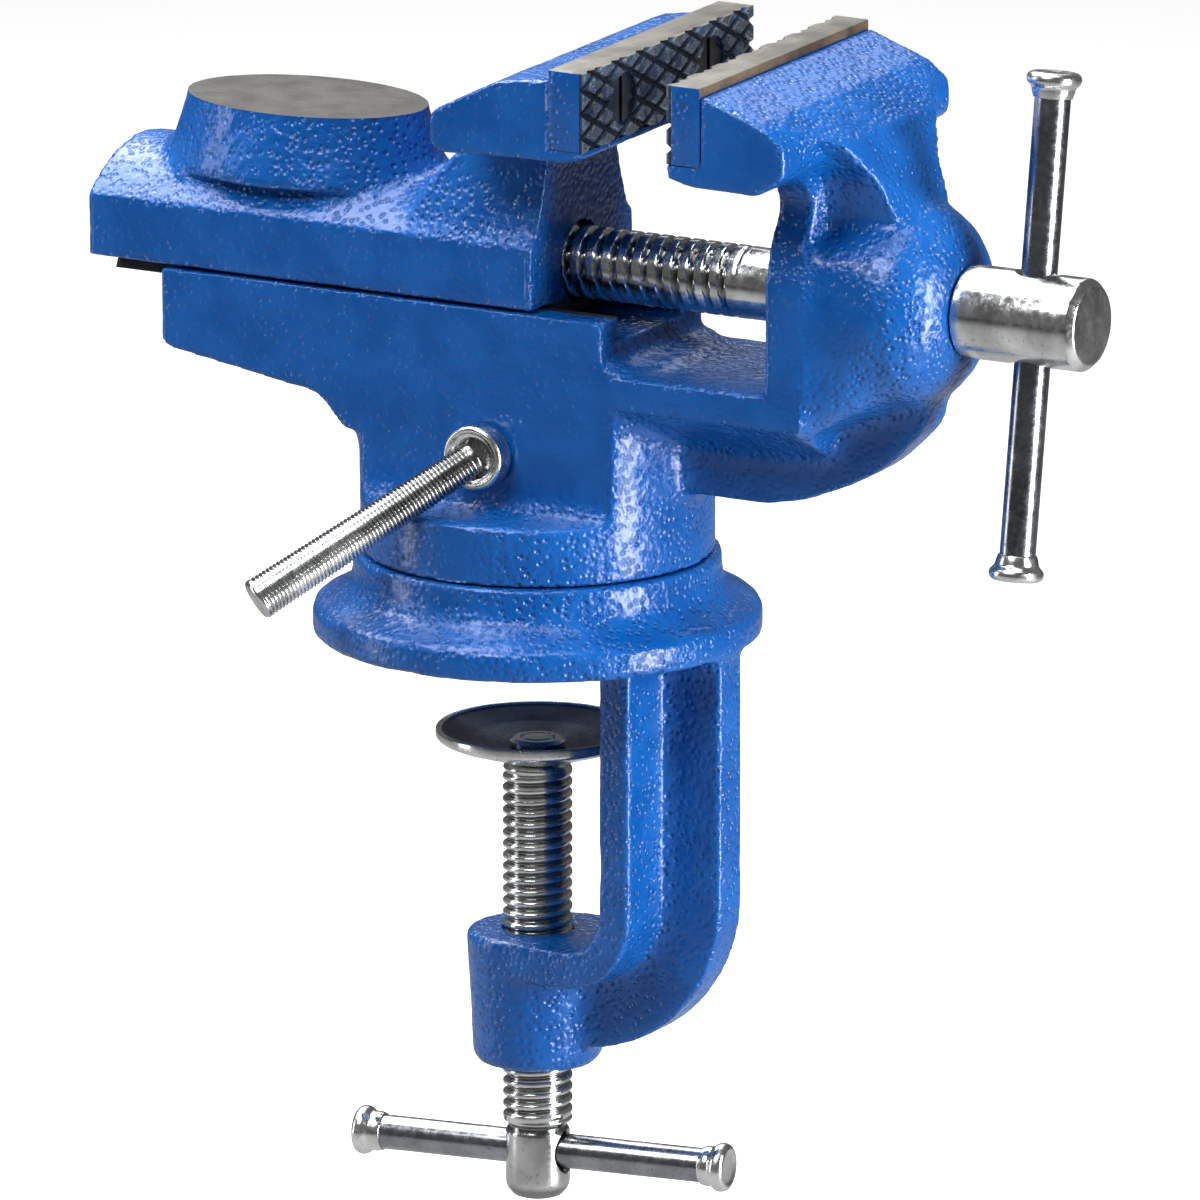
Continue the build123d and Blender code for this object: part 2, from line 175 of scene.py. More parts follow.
def threadedStations(profile, first, last, pitch, perTurn=12):
    # adds close stations over the threaded stretch of a profile
    body = rounded(profile)
    heights = np.array([p[0] for p in body])
    radii = np.array([p[1] for p in body])
    fine = np.arange(first, last, pitch / perTurn)
    inside = [(h, float(np.interp(h, heights, radii))) for h in fine]
    outside = [p for p in body if p[0] < first or p[0] > last]
    low = [p for p in outside if p[0] < first]
    high = [p for p in outside if p[0] > last]
    return low + inside + high


def put(tree, kind, inputs=None, **settings):
    node = tree.nodes.new(kind)
    for name, value in settings.items():
        setattr(node, name, value)
    for name, value in (inputs or {}).items():
        socket = node.inputs[name]
        if isinstance(value, bpy.types.NodeSocket):
            tree.links.new(value, socket)
        else:
            socket.default_value = value
    return node


def math2(tree, operation, a, b=0.0, clamp=False):
    return put(tree, "ShaderNodeMath", {0: a, 1: b}, operation=operation, use_clamp=clamp).outputs[0]


def ramp(tree, value, low, high, start=0.0, end=1.0):
    sockets = {0: value, 1: low, 2: high, 3: start, 4: end}
    return put(tree, "ShaderNodeMapRange", sockets, interpolation_type="SMOOTHSTEP").outputs[0]


def mixColour(tree, factor, a, b, mode="MIX"):
    node = put(tree, "ShaderNodeMix", {0: factor, 6: a, 7: b}, data_type="RGBA", blend_type=mode)
    return node.outputs[2]


def noiseOf(tree, where, scale, detail=3.0, roughness=0.5):
    sockets = {"Vector": where, "Scale": scale, "Detail": detail, "Roughness": roughness}
    return put(tree, "ShaderNodeTexNoise", sockets).outputs["Fac"]


def objectNoise(tree, scale, detail=3.0, roughness=0.55):
    return noiseOf(tree, put(tree, "ShaderNodeTexCoord").outputs["Object"], scale, detail, roughness)


def shaderGroup(name, inputs, outputs):
    tree = bpy.data.node_groups.new(name, "ShaderNodeTree")
    for label, value in inputs.items():
        socket = tree.interface.new_socket(label, in_out="INPUT", socket_type="NodeSocketFloat")
        socket.default_value = value
    for label in outputs:
        tree.interface.new_socket(label, in_out="OUTPUT", socket_type="NodeSocketFloat")
    return tree, tree.nodes.new("NodeGroupInput"), tree.nodes.new("NodeGroupOutput")


def castSkinGroup():
    # orange peel, sand-cast lumps and pinholes under thick enamel
    sizes = {"Peel Size": 1.5, "Lump Size": 9.0, "Pit Size": 1.3}
    tree, given, out = shaderGroup("castSkin", sizes, ("Height", "Pits", "Blotch"))
    where = put(tree, "ShaderNodeTexCoord").outputs["Object"]
    peelScale = math2(tree, "DIVIDE", 1000.0, given.outputs["Peel Size"])
    lumpScale = math2(tree, "DIVIDE", 1000.0, given.outputs["Lump Size"])
    pitScale = math2(tree, "DIVIDE", 1000.0, given.outputs["Pit Size"])
    peel = noiseOf(tree, where, peelScale, 2.5)
    lumps = noiseOf(tree, where, lumpScale, 2.0)
    sockets = {"Vector": where, "Scale": pitScale, "Randomness": 1.0}
    cells = put(tree, "ShaderNodeTexVoronoi", sockets, feature="F1").outputs["Distance"]
    patches = noiseOf(tree, where, math2(tree, "MULTIPLY", lumpScale, 0.45))
    hole = ramp(tree, cells, 0.06, 0.42, 1.0, 0.0)
    pits = math2(tree, "MULTIPLY", hole, ramp(tree, patches, 0.42, 0.60))
    crest = ramp(tree, peel, 0.25, 0.75)
    dimples = ramp(tree, cells, 0.05, 0.55)
    height = math2(tree, "ADD", math2(tree, "MULTIPLY", crest, 0.34), math2(tree, "MULTIPLY", lumps, 0.6))
    height = math2(tree, "ADD", height, math2(tree, "MULTIPLY", dimples, 0.72))
    height = math2(tree, "SUBTRACT", height, math2(tree, "MULTIPLY", pits, 0.25))
    tree.links.new(height, out.inputs["Height"])
    tree.links.new(pits, out.inputs["Pits"])
    tree.links.new(lumps, out.inputs["Blotch"])
    return tree


def metalGrainGroup():
    # fine tool marks along one axis, cloudy plating and small dark specks
    sizes = {"Mark Size": 0.5, "Along X": 1.0, "Along Y": 1.0, "Along Z": 1.0}
    tree, given, out = shaderGroup("metalGrain", sizes, ("Marks", "Clouds", "Specks"))
    where = put(tree, "ShaderNodeTexCoord").outputs["Object"]
    along = {axis: given.outputs[label] for axis, label in enumerate(("Along X", "Along Y", "Along Z"))}
    stretch = put(tree, "ShaderNodeCombineXYZ", along).outputs[0]
    drawn = put(tree, "ShaderNodeVectorMath", {0: where, 1: stretch}, operation="MULTIPLY").outputs[0]
    scale = math2(tree, "DIVIDE", 1000.0, given.outputs["Mark Size"])
    marks = noiseOf(tree, drawn, scale, 4.0, 0.6)
    clouds = noiseOf(tree, where, 160.0)
    specks = noiseOf(tree, where, 1400.0, 2.0, 0.65)
    tree.links.new(marks, out.inputs["Marks"])
    tree.links.new(clouds, out.inputs["Clouds"])
    tree.links.new(ramp(tree, specks, 0.58, 0.74), out.inputs["Specks"])
    return tree


castSkin = castSkinGroup()
metalGrain = metalGrainGroup()


def emptyMaterial(name):
    material = bpy.data.materials.new(name)
    material.use_nodes = True
    tree = material.node_tree
    tree.nodes.clear()
    shader = tree.nodes.new("ShaderNodeBsdfPrincipled")
    out = tree.nodes.new("ShaderNodeOutputMaterial")
    tree.links.new(shader.outputs[0], out.inputs["Surface"])
    return material, tree, shader


def bump(tree, shader, height, distance):
    node = put(tree, "ShaderNodeBump", {"Height": height, "Distance": distance, "Strength": 1.0})
    tree.links.new(node.outputs[0], shader.inputs["Normal"])


enamel = {
    "deep": (0.002, 0.064, 0.270, 1), "full": (0.003, 0.080, 0.320, 1), "pale": (0.018, 0.12, 0.42, 1),
    "pit": (0.005, 0.022, 0.10, 1), "tint": (0.66, 0.70, 1.0, 1), "roughness": (0.20, 0.30), "coat": 0.18,
    "coatRoughness": 0.12, "relief": 0.33 * mm, "flatRelief": 0.12, "peelRelief": 0.88,
}


def skinTraits(tree):
    traits = put(tree, "ShaderNodeAttribute", attribute_name="skin")
    return put(tree, "ShaderNodeSeparateColor", {0: traits.outputs["Color"]}).outputs


def blueEnamel():
    material, tree, shader = emptyMaterial("blueEnamel")
    skin = put(tree, "ShaderNodeGroup", node_tree=castSkin)
    edge, hollow, peel = list(skinTraits(tree))[:3]
    colour = mixColour(tree, ramp(tree, skin.outputs["Blotch"], 0.35, 0.65), enamel["deep"], enamel["full"])
    # convex edges lightened towards the pale blue: partly thinner enamel on the edges, partly painted
    # highlight
    colour = mixColour(tree, math2(tree, "MULTIPLY", edge, 0.45), colour, enamel["pale"])
    # painted shade: hollows and creases darkened towards the deep blue
    colour = mixColour(tree, math2(tree, "MULTIPLY", hollow, 0.5), colour, enamel["deep"])
    pitted = math2(tree, "MULTIPLY", skin.outputs["Pits"], peel)
    colour = mixColour(tree, math2(tree, "MULTIPLY", pitted, 0.3), colour, enamel["pit"])
    tree.links.new(colour, shader.inputs["Base Color"])
    low, high = enamel["roughness"]
    tree.links.new(ramp(tree, skin.outputs["Blotch"], 0.3, 0.7, low, high), shader.inputs["Roughness"])
    shader.inputs["Specular Tint"].default_value = enamel["tint"]
    shader.inputs["Coat Weight"].default_value = enamel["coat"]
    shader.inputs["Coat Roughness"].default_value = enamel["coatRoughness"]
    strength = math2(tree, "MULTIPLY", peel, enamel["peelRelief"])
    strength = math2(tree, "ADD", strength, enamel["flatRelief"])
    bump(tree, shader, math2(tree, "MULTIPLY", skin.outputs["Height"], strength), enamel["relief"])
    return material


metalBase = {"stretch": (1, 1, 1), "speck": 0.5, "metallic": 1.0, "cavity": False,
             "speckTone": 0.45, "cavityTone": 0.25, "cavityShare": 0.8, "speckRoughness": 0.12}


def opaque(colour, share=1.0):
    return tuple(c * share for c in colour) + (1,)


def metal(name, changes):
    look = metalBase | changes
    material, tree, shader = emptyMaterial(name)
    along = dict(zip(("Along X", "Along Y", "Along Z"), look["stretch"]))
    grain = put(tree, "ShaderNodeGroup", {"Mark Size": look["marks"]} | along, node_tree=metalGrain)
    marks, clouds, specks = (grain.outputs[label] for label in ("Marks", "Clouds", "Specks"))
    colour = mixColour(tree, ramp(tree, clouds, 0.3, 0.7), opaque(look["dark"]), opaque(look["light"]))
    speck = math2(tree, "MULTIPLY", specks, look["speck"])
    colour = mixColour(tree, speck, colour, opaque(look["dark"], look["speckTone"]))
    # painted shade: the colour darkens towards the thread's root
    if look["cavity"]:
        hollow = math2(tree, "MULTIPLY", skinTraits(tree)[1], look["cavityShare"])
        colour = mixColour(tree, hollow, colour, opaque(look["dark"], look["cavityTone"]))
    tree.links.new(colour, shader.inputs["Base Color"])
    shader.inputs["Metallic"].default_value = look["metallic"]
    low, high = look["roughness"]
    rough = math2(tree, "ADD", ramp(tree, marks, 0.3, 0.7, low, high),
                  math2(tree, "MULTIPLY", specks, look["speckRoughness"]))
    tree.links.new(rough, shader.inputs["Roughness"])
    bump(tree, shader, math2(tree, "ADD", marks, math2(tree, "MULTIPLY", specks, -0.5)), look["relief"] * mm)
    return material


toothLook = {"dark": (0.030, 0.055, 0.115), "light": (0.060, 0.098, 0.175), "groove": (0.004, 0.007, 0.016),
             "worn": (0.42, 0.46, 0.52), "wornSize": 420.0, "roughness": (0.16, 0.34), "relief": 0.05 * mm}


def toothFinish():
    # painted shade: near-black towards the floor of the grooves; bare bright steel where the tips have worn
    material, tree, shader = emptyMaterial("wornTeeth")
    grain = put(tree, "ShaderNodeGroup", {"Mark Size": 0.5}, node_tree=metalGrain)
    tip, groove = list(skinTraits(tree))[:2]
    rubbed = ramp(tree, objectNoise(tree, toothLook["wornSize"], 3.0, 0.6), 0.44, 0.56)
    worn = math2(tree, "MULTIPLY", ramp(tree, tip, 0.55, 0.95), rubbed)
    clouds = ramp(tree, grain.outputs["Clouds"], 0.35, 0.65)
    colour = mixColour(tree, clouds, opaque(toothLook["dark"]), opaque(toothLook["light"]))
    # painted shade: the grooves' floors darkened to near-black
    colour = mixColour(tree, groove, colour, opaque(toothLook["groove"]))
    colour = mixColour(tree, worn, colour, opaque(toothLook["worn"]))
    tree.links.new(colour, shader.inputs["Base Color"])
    tree.links.new(worn, shader.inputs["Metallic"])
    low, high = toothLook["roughness"]
    tree.links.new(ramp(tree, grain.outputs["Marks"], 0.3, 0.7, low, high), shader.inputs["Roughness"])
    bump(tree, shader, grain.outputs["Marks"], toothLook["relief"])
    return material


paint = blueEnamel()
toothPaint = toothFinish()
metalLooks = {
    "brightZinc": {"dark": (0.50, 0.51, 0.50), "light": (0.80, 0.81, 0.80), "roughness": (0.14, 0.28),
                   "marks": 1.2, "relief": 0.003},
    "zincThread": {"dark": (0.46, 0.47, 0.46), "light": (0.78, 0.79, 0.78), "roughness": (0.12, 0.26),
                   "marks": 1.2, "relief": 0.004, "cavity": True},
    "groundSteel": {"dark": (0.095, 0.090, 0.080), "light": (0.165, 0.157, 0.141), "roughness": (0.50, 0.68),
                    "marks": 0.35, "stretch": (1, 0.04, 1), "relief": 0.02, "speck": 0.3, "metallic": 0.7},
    "milledFace": {"dark": (0.044, 0.042, 0.039), "light": (0.076, 0.073, 0.068), "roughness": (0.40, 0.58),
                   "marks": 0.5, "stretch": (0.06, 1, 1), "relief": 0.03, "speck": 0.4, "metallic": 0.7},
    "barSteel": {"dark": (0.20, 0.21, 0.23), "light": (0.34, 0.35, 0.38), "roughness": (0.16, 0.28),
                 "marks": 1.2, "relief": 0.004},
    "dishSteel": {"dark": (0.020, 0.030, 0.050), "light": (0.055, 0.075, 0.11), "roughness": (0.28, 0.45),
                  "marks": 0.8, "relief": 0.03, "metallic": 0.7},
    "darkBrownBand": {"dark": (0.030, 0.020, 0.012), "light": (0.11, 0.075, 0.045), "roughness": (0.60, 0.80),
              "marks": 0.8, "relief": 0.06, "speck": 0.6, "metallic": 0.0},
    "oiledSteel": {"dark": (0.09, 0.09, 0.10), "light": (0.18, 0.18, 0.19), "roughness": (0.28, 0.45),
                   "marks": 0.6, "relief": 0.02, "speck": 0.4},
    "rawIron": {"dark": (0.02, 0.02, 0.022), "light": (0.05, 0.05, 0.05), "roughness": (0.4, 0.6),
                "marks": 0.8, "stretch": (0.2, 1, 1), "relief": 0.05, "speck": 0.4, "metallic": 0.6},
    "turnedBrass": {"dark": (0.42, 0.28, 0.10), "light": (0.62, 0.44, 0.18), "roughness": (0.25, 0.4),
                    "marks": 0.5, "relief": 0.02, "speck": 0.3},
}
metals = {name: metal(name, look) for name, look in metalLooks.items()}
print("materials ready")


def edgeArrays(mesh):
    edges = np.empty(len(mesh.edges) * 2, dtype=np.int64)
    mesh.edges.foreach_get("vertices", edges)
    return edges.reshape(-1, 2)


def points(mesh):
    flat = np.empty(len(mesh.vertices) * 3)
    mesh.vertices.foreach_get("co", flat)
    return flat.reshape(-1, 3)


def spread(values, index, count):
    return np.stack([np.bincount(index, values[:, k], count) for k in range(3)], -1)


class Skin:
    # a mesh held as arrays, so that it can be relaxed and read quickly
    def __init__(self, mesh):
        self.co = points(mesh)
        self.edges = edgeArrays(mesh)
        loops = np.empty(len(mesh.loops), dtype=np.int64)
        mesh.loops.foreach_get("vertex_index", loops)
        starts = np.empty(len(mesh.polygons), dtype=np.int64)
        totals = np.empty(len(mesh.polygons), dtype=np.int64)
        mesh.polygons.foreach_get("loop_start", starts)
        mesh.polygons.foreach_get("loop_total", totals)
        self.corners = [loops[starts + k] for k in range(3)] + [loops[starts + np.minimum(3, totals - 1)]]
        self.count = len(self.co)
        self.degree = np.bincount(self.edges.ravel(), minlength=self.count)[:, None]

    def pull(self):
        a, b = self.edges[:, 0], self.edges[:, 1]
        total = spread(self.co[b], a, self.count) + spread(self.co[a], b, self.count)
        return total / self.degree - self.co

    def normals(self):
        a, b, c, d = (self.co[k] for k in self.corners)
        face = np.cross(c - a, d - b)
        total = sum(spread(face, k, self.count) for k in self.corners)
        return total / np.maximum(np.linalg.norm(total, axis=1), 1e-12)[:, None]

    def relax(self, rounds, weight):
        for _ in range(rounds):
            for step in (0.5, -0.34):
                self.co += weight[:, None] * step * self.pull()

    def fillHollows(self, rounds, weight):
        for _ in range(rounds):
            normal = self.normals()
            lift = np.maximum((self.pull() * normal).sum(1), 0) * weight
            self.co += normal * lift[:, None]


def fieldNoise(co, size, seed):
    # smooth value noise from summed waves, quick enough for whole castings
    rng = np.random.default_rng(seed)
    total = np.zeros(len(co))
    for _ in range(26):
        direction = rng.normal(size=3)
        direction /= np.linalg.norm(direction)
        wave = 2 * math.pi / (size * rng.uniform(0.7, 1.5))
        total += np.sin(co @ direction * wave + rng.uniform(0, 2 * math.pi))
    return total / math.sqrt(13)


def smoothStep(value, low, high):
    t = np.clip((value - low) / (high - low), 0, 1)
    return t * t * (3 - 2 * t)


def paintTraits(mesh, skin, smoothSides):
    # red marks crisp edges, green hollows, blue where the orange peel is strong
    normal = skin.normals()
    bend = (skin.pull() * normal).sum(1) / skin.spacing
    edge = smoothStep(-bend, 0.05, 0.20)
    hollow = smoothStep(bend, 0.03, 0.14)
    flat = smoothStep(np.abs(normal[:, 1]), 0.93, 0.995) * smoothSides
    traits = np.stack([edge, hollow, 1 - flat, np.ones(len(edge))], -1)
    layer = mesh.color_attributes.new("skin", "FLOAT_COLOR", "POINT")
    layer.data.foreach_set("color", traits.ravel().astype(np.float32))


def castPiece(name, node, settings, keep, lift=None):
    # remesh, round the edges, fill the hollows and rough the surface
    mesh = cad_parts[node].data.copy()
    work = bmesh.new()
    work.from_mesh(mesh)
    bmesh.ops.remove_doubles(work, verts=work.verts, dist=1e-6)
    if lift:
        for vert in work.verts:
            if lift["where"](vert.co):
                vert.co.z += lift["by"]
    work.to_mesh(mesh)
    work.free()
    piece = newObject(name, mesh)
    remesh = piece.modifiers.new("skin", "REMESH")
    remesh.mode, remesh.voxel_size = "VOXEL", settings["voxel"]
    flattened(piece)
    skin = Skin(piece.data)
    skin.spacing = settings["voxel"]
    free = 1 - keep(skin.co)
    skin.relax(settings["edgeRounds"], np.maximum(free, 0.15))
    skin.fillHollows(settings["hollowRounds"], free * settings["hollowStep"])
    skin.relax(2, free)
    normal = skin.normals()
    rough = fieldNoise(skin.co, settings["lumpSize"], 11) * settings["lump"]
    rough += fieldNoise(skin.co, settings["peelSize"], 12) * settings["peel"]
    side = 1 - 0.8 * smoothStep(np.abs(normal[:, 1]), 0.93, 0.995)
    skin.co += normal * (np.minimum(rough, 0.5 * settings["lump"]) * free * side)[:, None]
    low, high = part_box(node)
    skin.co = np.clip(skin.co, np.array(low), np.array(high))
    piece.data.vertices.foreach_set("co", skin.co.ravel())
    piece.data.update()
    paintTraits(piece.data, skin, settings["smoothSides"])
    print(name, "cast skin,", len(piece.data.polygons), "faces")
    return piece


def within(co, xSpan, ySpan, zSpan):
    lows = np.array([xSpan[0], ySpan[0], zSpan[0]]) * mm
    highs = np.array([xSpan[1], ySpan[1], zSpan[1]]) * mm
    return np.all((co >= lows) & (co <= highs), axis=1)


castBody = {"voxel": 0.72 * mm, "edgeRounds": 3, "hollowRounds": 46, "hollowStep": 0.55, "smoothSides": 0.8,
            "lump": 0.035 * mm, "lumpSize": 11 * mm, "peel": 0.02 * mm, "peelSize": 2.6 * mm}


def keepBody(co):
    # the groove, the bores and the jaw seat stay as machined
    kept = within(co, (-70, 22.8), (-13.2, 13.2), (54.8, 61))
    kept |= within(co, (40, 48.9), (-31, 31), (91.5, 107))
    kept |= within(co, (49, 60), (-10.5, 10.5), (55.5, 76))
    spigotReach = np.hypot(co[:, 0], co[:, 1])
    kept |= (spigotReach < 13.2 * mm) & (co[:, 2] < 45 * mm)
    kept |= (spigotReach < 31 * mm) & (co[:, 2] < 15.6 * mm)
    screwReach = np.hypot(co[:, 1], co[:, 2] - 65.8 * mm)
    kept |= (screwReach < 7.6 * mm) & (co[:, 0] > 50 * mm)
    lockReach = np.hypot(co[:, 0], co[:, 2] - 35 * mm)
    kept |= (lockReach < 5.2 * mm) & (np.abs(co[:, 1] + 15 * mm) < 4.5 * mm)
    return kept.astype(float)


def swivelBody():
    piece = castPiece("castBody", "body_casting", castBody, keepBody)
    centres = np.empty(len(piece.data.polygons) * 3)
    piece.data.polygons.foreach_get("center", centres)
    railTop = within(centres.reshape(-1, 3), (-72, 22), (-13.1, 13.1), (59.4, 60.3))
    piece.data.polygons.foreach_set("material_index", railTop.astype(np.int32))
    return finishPiece(piece, "swivel_body", ["body_casting"], [paint, metals["rawIron"]], 60)


castSlide = {"voxel": 0.66 * mm, "edgeRounds": 3, "hollowRounds": 50, "hollowStep": 0.55, "smoothSides": 0.8,
             "lump": 0.035 * mm, "lumpSize": 11 * mm, "peel": 0.022 * mm, "peelSize": 2.4 * mm,
             "anvilTop": 88.5 * mm, "anvilEnd": -15 * mm, "anvilBand": 3 * mm, "tongueTop": 60.45 * mm}


def keepSlide(co):
    # the tongue, the screw tunnel, the jaw seat and the anvil's top edge stay as machined
    kept = within(co, (-80, 9), (-13.5, 13.5), (56, 60.9))
    kept |= within(co, (18.2, 27), (-31, 31), (91.5, 107))
    kept |= (np.hypot(co[:, 1], co[:, 2] - 65.8 * mm) < 7.6 * mm)
    kept |= within(co, (-15, 3), (-10.5, 10.5), (56, 75))
    anvilTop = within(co, (-75, -17), (-25, 25), (87.9, 91))
    return np.maximum(kept.astype(float), anvilTop * 0.9)


def slidingJaw():
    anvilEnd = castSlide["anvilEnd"]
    lift = {"where": lambda p: p.x < anvilEnd and p.z > 88 * mm, "by": 0.9 * mm}
    piece = castPiece("castSlide", "slide_casting", castSlide, keepSlide, lift)
    work = bmesh.new()
    work.from_mesh(piece.data)
    top = castSlide["anvilTop"]
    middles = {f: f.calc_center_median() for f in work.faces}
    faces = [f for f, at in middles.items() if at.x < anvilEnd and at.z > top - castSlide["anvilBand"]]
    edges = {e for f in faces for e in f.edges}
    verts = {v for f in faces for v in f.verts}
    sliced = bmesh.ops.bisect_plane(work, geom=faces + list(edges) + list(verts), plane_co=(0, 0, top),
                                    plane_no=(0, 0, 1), clear_outer=True)
    rim = [e for e in sliced["geom_cut"] if isinstance(e, bmesh.types.BMEdge)]
    filled = bmesh.ops.triangle_fill(work, edges=rim, use_beauty=True)
    for made in filled["geom"]:
        if isinstance(made, bmesh.types.BMFace):
            made.material_index = 1
            if made.normal.z < 0:
                made.normal_flip()
    for face in work.faces:
        middle = face.calc_center_median()
        if middle.z < castSlide["tongueTop"] and abs(middle.y) < 13 * mm:
            face.material_index = 2
    work.to_mesh(piece.data)
    work.free()
    finishes = [paint, metals["milledFace"], metals["rawIron"]]
    return finishPiece(piece, "sliding_jaw", ["slide_casting"], finishes, 50)


castBase = {"voxel": 0.62 * mm, "edgeRounds": 4, "hollowRounds": 46, "hollowStep": 0.55, "smoothSides": 0.3,
            "lump": 0.045 * mm, "lumpSize": 9 * mm, "peel": 0.022 * mm, "peelSize": 2.3 * mm}


def keepBase(co):
    # the seat for the drum, the spigot's socket and the threaded bore stay as machined
    reach = np.hypot(co[:, 0], co[:, 1])
    kept = (reach < 13.2 * mm) & (co[:, 2] > 2 * mm)
    kept |= (reach < 30.5 * mm) & (co[:, 2] > 14 * mm)
    kept |= (reach < 7.2 * mm) & (co[:, 2] < -50 * mm)
    kept |= (co[:, 2] < 0.8 * mm) & (co[:, 2] > -0.5 * mm) & (reach < 37 * mm) & (co[:, 0] < 16 * mm)
    return kept.astype(float)


def swivelBase():
    piece = castPiece("castBase", "base_casting", castBase, keepBase)
    return finishPiece(piece, "base", ["base_casting"], [paint], 60)


swivelBody()
slidingJaw()
swivelBase()


def roundThread(phase):
    # full rounded crests with narrower rounded grooves
    centred = np.abs(phase - 0.5) * 2
    return smoothStep(1 - centred, 0.50, 0.94)


def sharpThread(phase):
    centred = np.abs(phase - 0.5) * 2
    return smoothStep(1 - centred, 0.20, 0.95)


def markGrooves(piece, origin, direction, crest, depth):
    # green grows towards the thread's root, which the material darkens as painted shade
    co = points(piece.data) - np.array(origin)
    line = np.array(Vector(direction).normalized())
    reach = np.linalg.norm(co - np.outer(co @ line, line), axis=1)
    hollow = smoothStep(crest - reach, depth * 0.35, depth) * (reach > crest * 0.5)
    traits = np.stack([np.zeros(len(co)), hollow, np.zeros(len(co)), np.ones(len(co))], -1)
    layer = piece.data.color_attributes.new("skin", "FLOAT_COLOR", "POINT")
    layer.data.foreach_set("color", traits.ravel().astype(np.float32))


mainScrew = {"radius": 6.25, "pitch": 3.0, "depth": 1.05, "threadEnd": 41.5, "shankRadius": 6.2,
             "headRadius": 8.0, "headStart": 83.8, "holePlace": 96.2, "holeRadius": 3.35, "holeMouth": 4.1,
             "tilt": 8.9, "height": 65.8}


def barTilt():
    tilt = math.radians(mainScrew["tilt"])
    return Vector((0, math.sin(tilt), math.cos(tilt)))


def crossHole(centre, direction, radius, mouth, reach):
    # a drilled hole whose rims are eased where they meet the head
    half = [(reach - 0.9, radius), (reach + 0.1, mouth), (14, mouth + 3)]
    stations = [(-h, r) for h, r in reversed(half)] + half
    return turnedPiece("holeTool", [(h * mm, r * mm) for h, r in stations], centre, direction, 48)


def mainScrewPiece():
    low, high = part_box("lead_screw")
    start, end = low.x / mm, high.x / mm
    crest, shank, head = mainScrew["radius"], mainScrew["shankRadius"], mainScrew["headRadius"]
    threadEnd, headStart = mainScrew["threadEnd"], mainScrew["headStart"]
    profile = [(start, 0.001), (start, 4.9), (start + 1.4, crest), (threadEnd, crest), (threadEnd + 1, shank),
               (headStart, shank), (headStart, head), (end - 1.3, head), (end, 6.8), (end, 0.001)]
    profile = [(h * mm, r * mm) for h, r in profile]
    first, last = (start + 1.6) * mm, (threadEnd + 0.2) * mm
    stations = threadedStations(profile, first, last, mainScrew["pitch"] * mm)
    thread = (mainScrew["pitch"] * mm, mainScrew["depth"] * mm, first, last, roundThread)
    origin = (0, 0, mainScrew["height"] * mm)
    piece = turnedPiece("mainScrew", stations, origin, (1, 0, 0), 64, thread)
    hole = (mainScrew["holePlace"] * mm, 0, mainScrew["height"] * mm)
    cut(piece, [crossHole(hole, barTilt(), mainScrew["holeRadius"], mainScrew["holeMouth"], head - 0.4)])
    markGrooves(piece, origin, (1, 0, 0), crest * mm, mainScrew["depth"] * mm)
    return finishPiece(piece, "main_screw", ["lead_screw"], [metals["zincThread"]], 40)


clampScrew = {"radius": 6.0, "pitch": 2.0, "depth": 0.78, "threadFoot": -86.6, "threadTop": -23.6,
              "barHeight": -92.0, "barTurn": 7.0, "holeRadius": 3.25, "holeMouth": 3.9, "holeReach": 5.2}


def clampBarLine():
    turn = math.radians(clampScrew["barTurn"])
    return Vector((math.cos(turn), math.sin(turn), 0))


def clampScrewPiece():
    profile = [(-100.5, 0.001), (-100.5, 2.6), (-99.9, 4.3), (-98.6, 5.3), (-97.6, 5.55), (-88.6, 5.55),
               (-88.0, 5.2), (-87.4, 5.0), (-86.6, 6.0), (-24.1, 6.0), (-23.0, 4.9), (-23.0, 3.0),
               (-19.4, 3.0), (-18.9, 2.5), (-18.9, 0.001)]
    profile = [(h * mm, r * mm) for h, r in profile]
    first, last = clampScrew["threadFoot"] * mm, clampScrew["threadTop"] * mm
    stations = threadedStations(profile, first, last, clampScrew["pitch"] * mm)
    thread = (clampScrew["pitch"] * mm, clampScrew["depth"] * mm, first, last, sharpThread)
    piece = turnedPiece("clampScrew", stations, (0, 0, 0), (0, 0, 1), 64, thread)
    hole = (0, 0, clampScrew["barHeight"] * mm)
    sizes = (clampScrew["holeRadius"], clampScrew["holeMouth"], clampScrew["holeReach"])
    cut(piece, [crossHole(hole, clampBarLine(), *sizes)])
    markGrooves(piece, (0, 0, 0), (0, 0, 1), clampScrew["radius"] * mm, clampScrew["depth"] * mm)
    return finishPiece(piece, "lower_screw", ["clamp_screw"], [metals["zincThread"]], 40)


mainScrewPiece()
clampScrewPiece()
print("screws turned")


def barPiece(name, node, body, centre, direction, radius, reach):
    profile = [(-reach, 0.001), (-reach, radius), (reach, radius), (reach, 0.001)]
    stations = rounded([(h * mm, r * mm) for h, r in profile], 0.5 * mm)
    piece = turnedPiece(name, stations, centre, direction, 48)
    return finishPiece(piece, body, [node], [metals["barSteel"]], 40)


def capPiece(name, node, body, centre, direction, foot, length, capRadius, barRadius):
    # a flared, dished end like a nail head, upset on the bar
    r, b = capRadius, barRadius
    profile = [(0, b * 0.98), (0, b + 0.25), (length * 0.22, b + 0.55), (length * 0.40, r * 0.80),
               (length * 0.58, r * 0.97), (length * 0.74, r), (length * 0.90, r * 0.95), (length, r * 0.80),
               (length * 0.94, r * 0.55), (length * 0.92, 0.001)]
    inner = [(length * 0.6, 0.001), (length * 0.6, b * 0.98)]
    stations = rounded([(h * mm, s * mm) for h, s in inner + profile], 0.4 * mm)
    origin = Vector(centre) + Vector(direction).normalized() * foot * mm
    piece = turnedPiece(name, stations, origin, direction, 48)
    return finishPiece(piece, body, [node], [metals["brightZinc"]], 40)


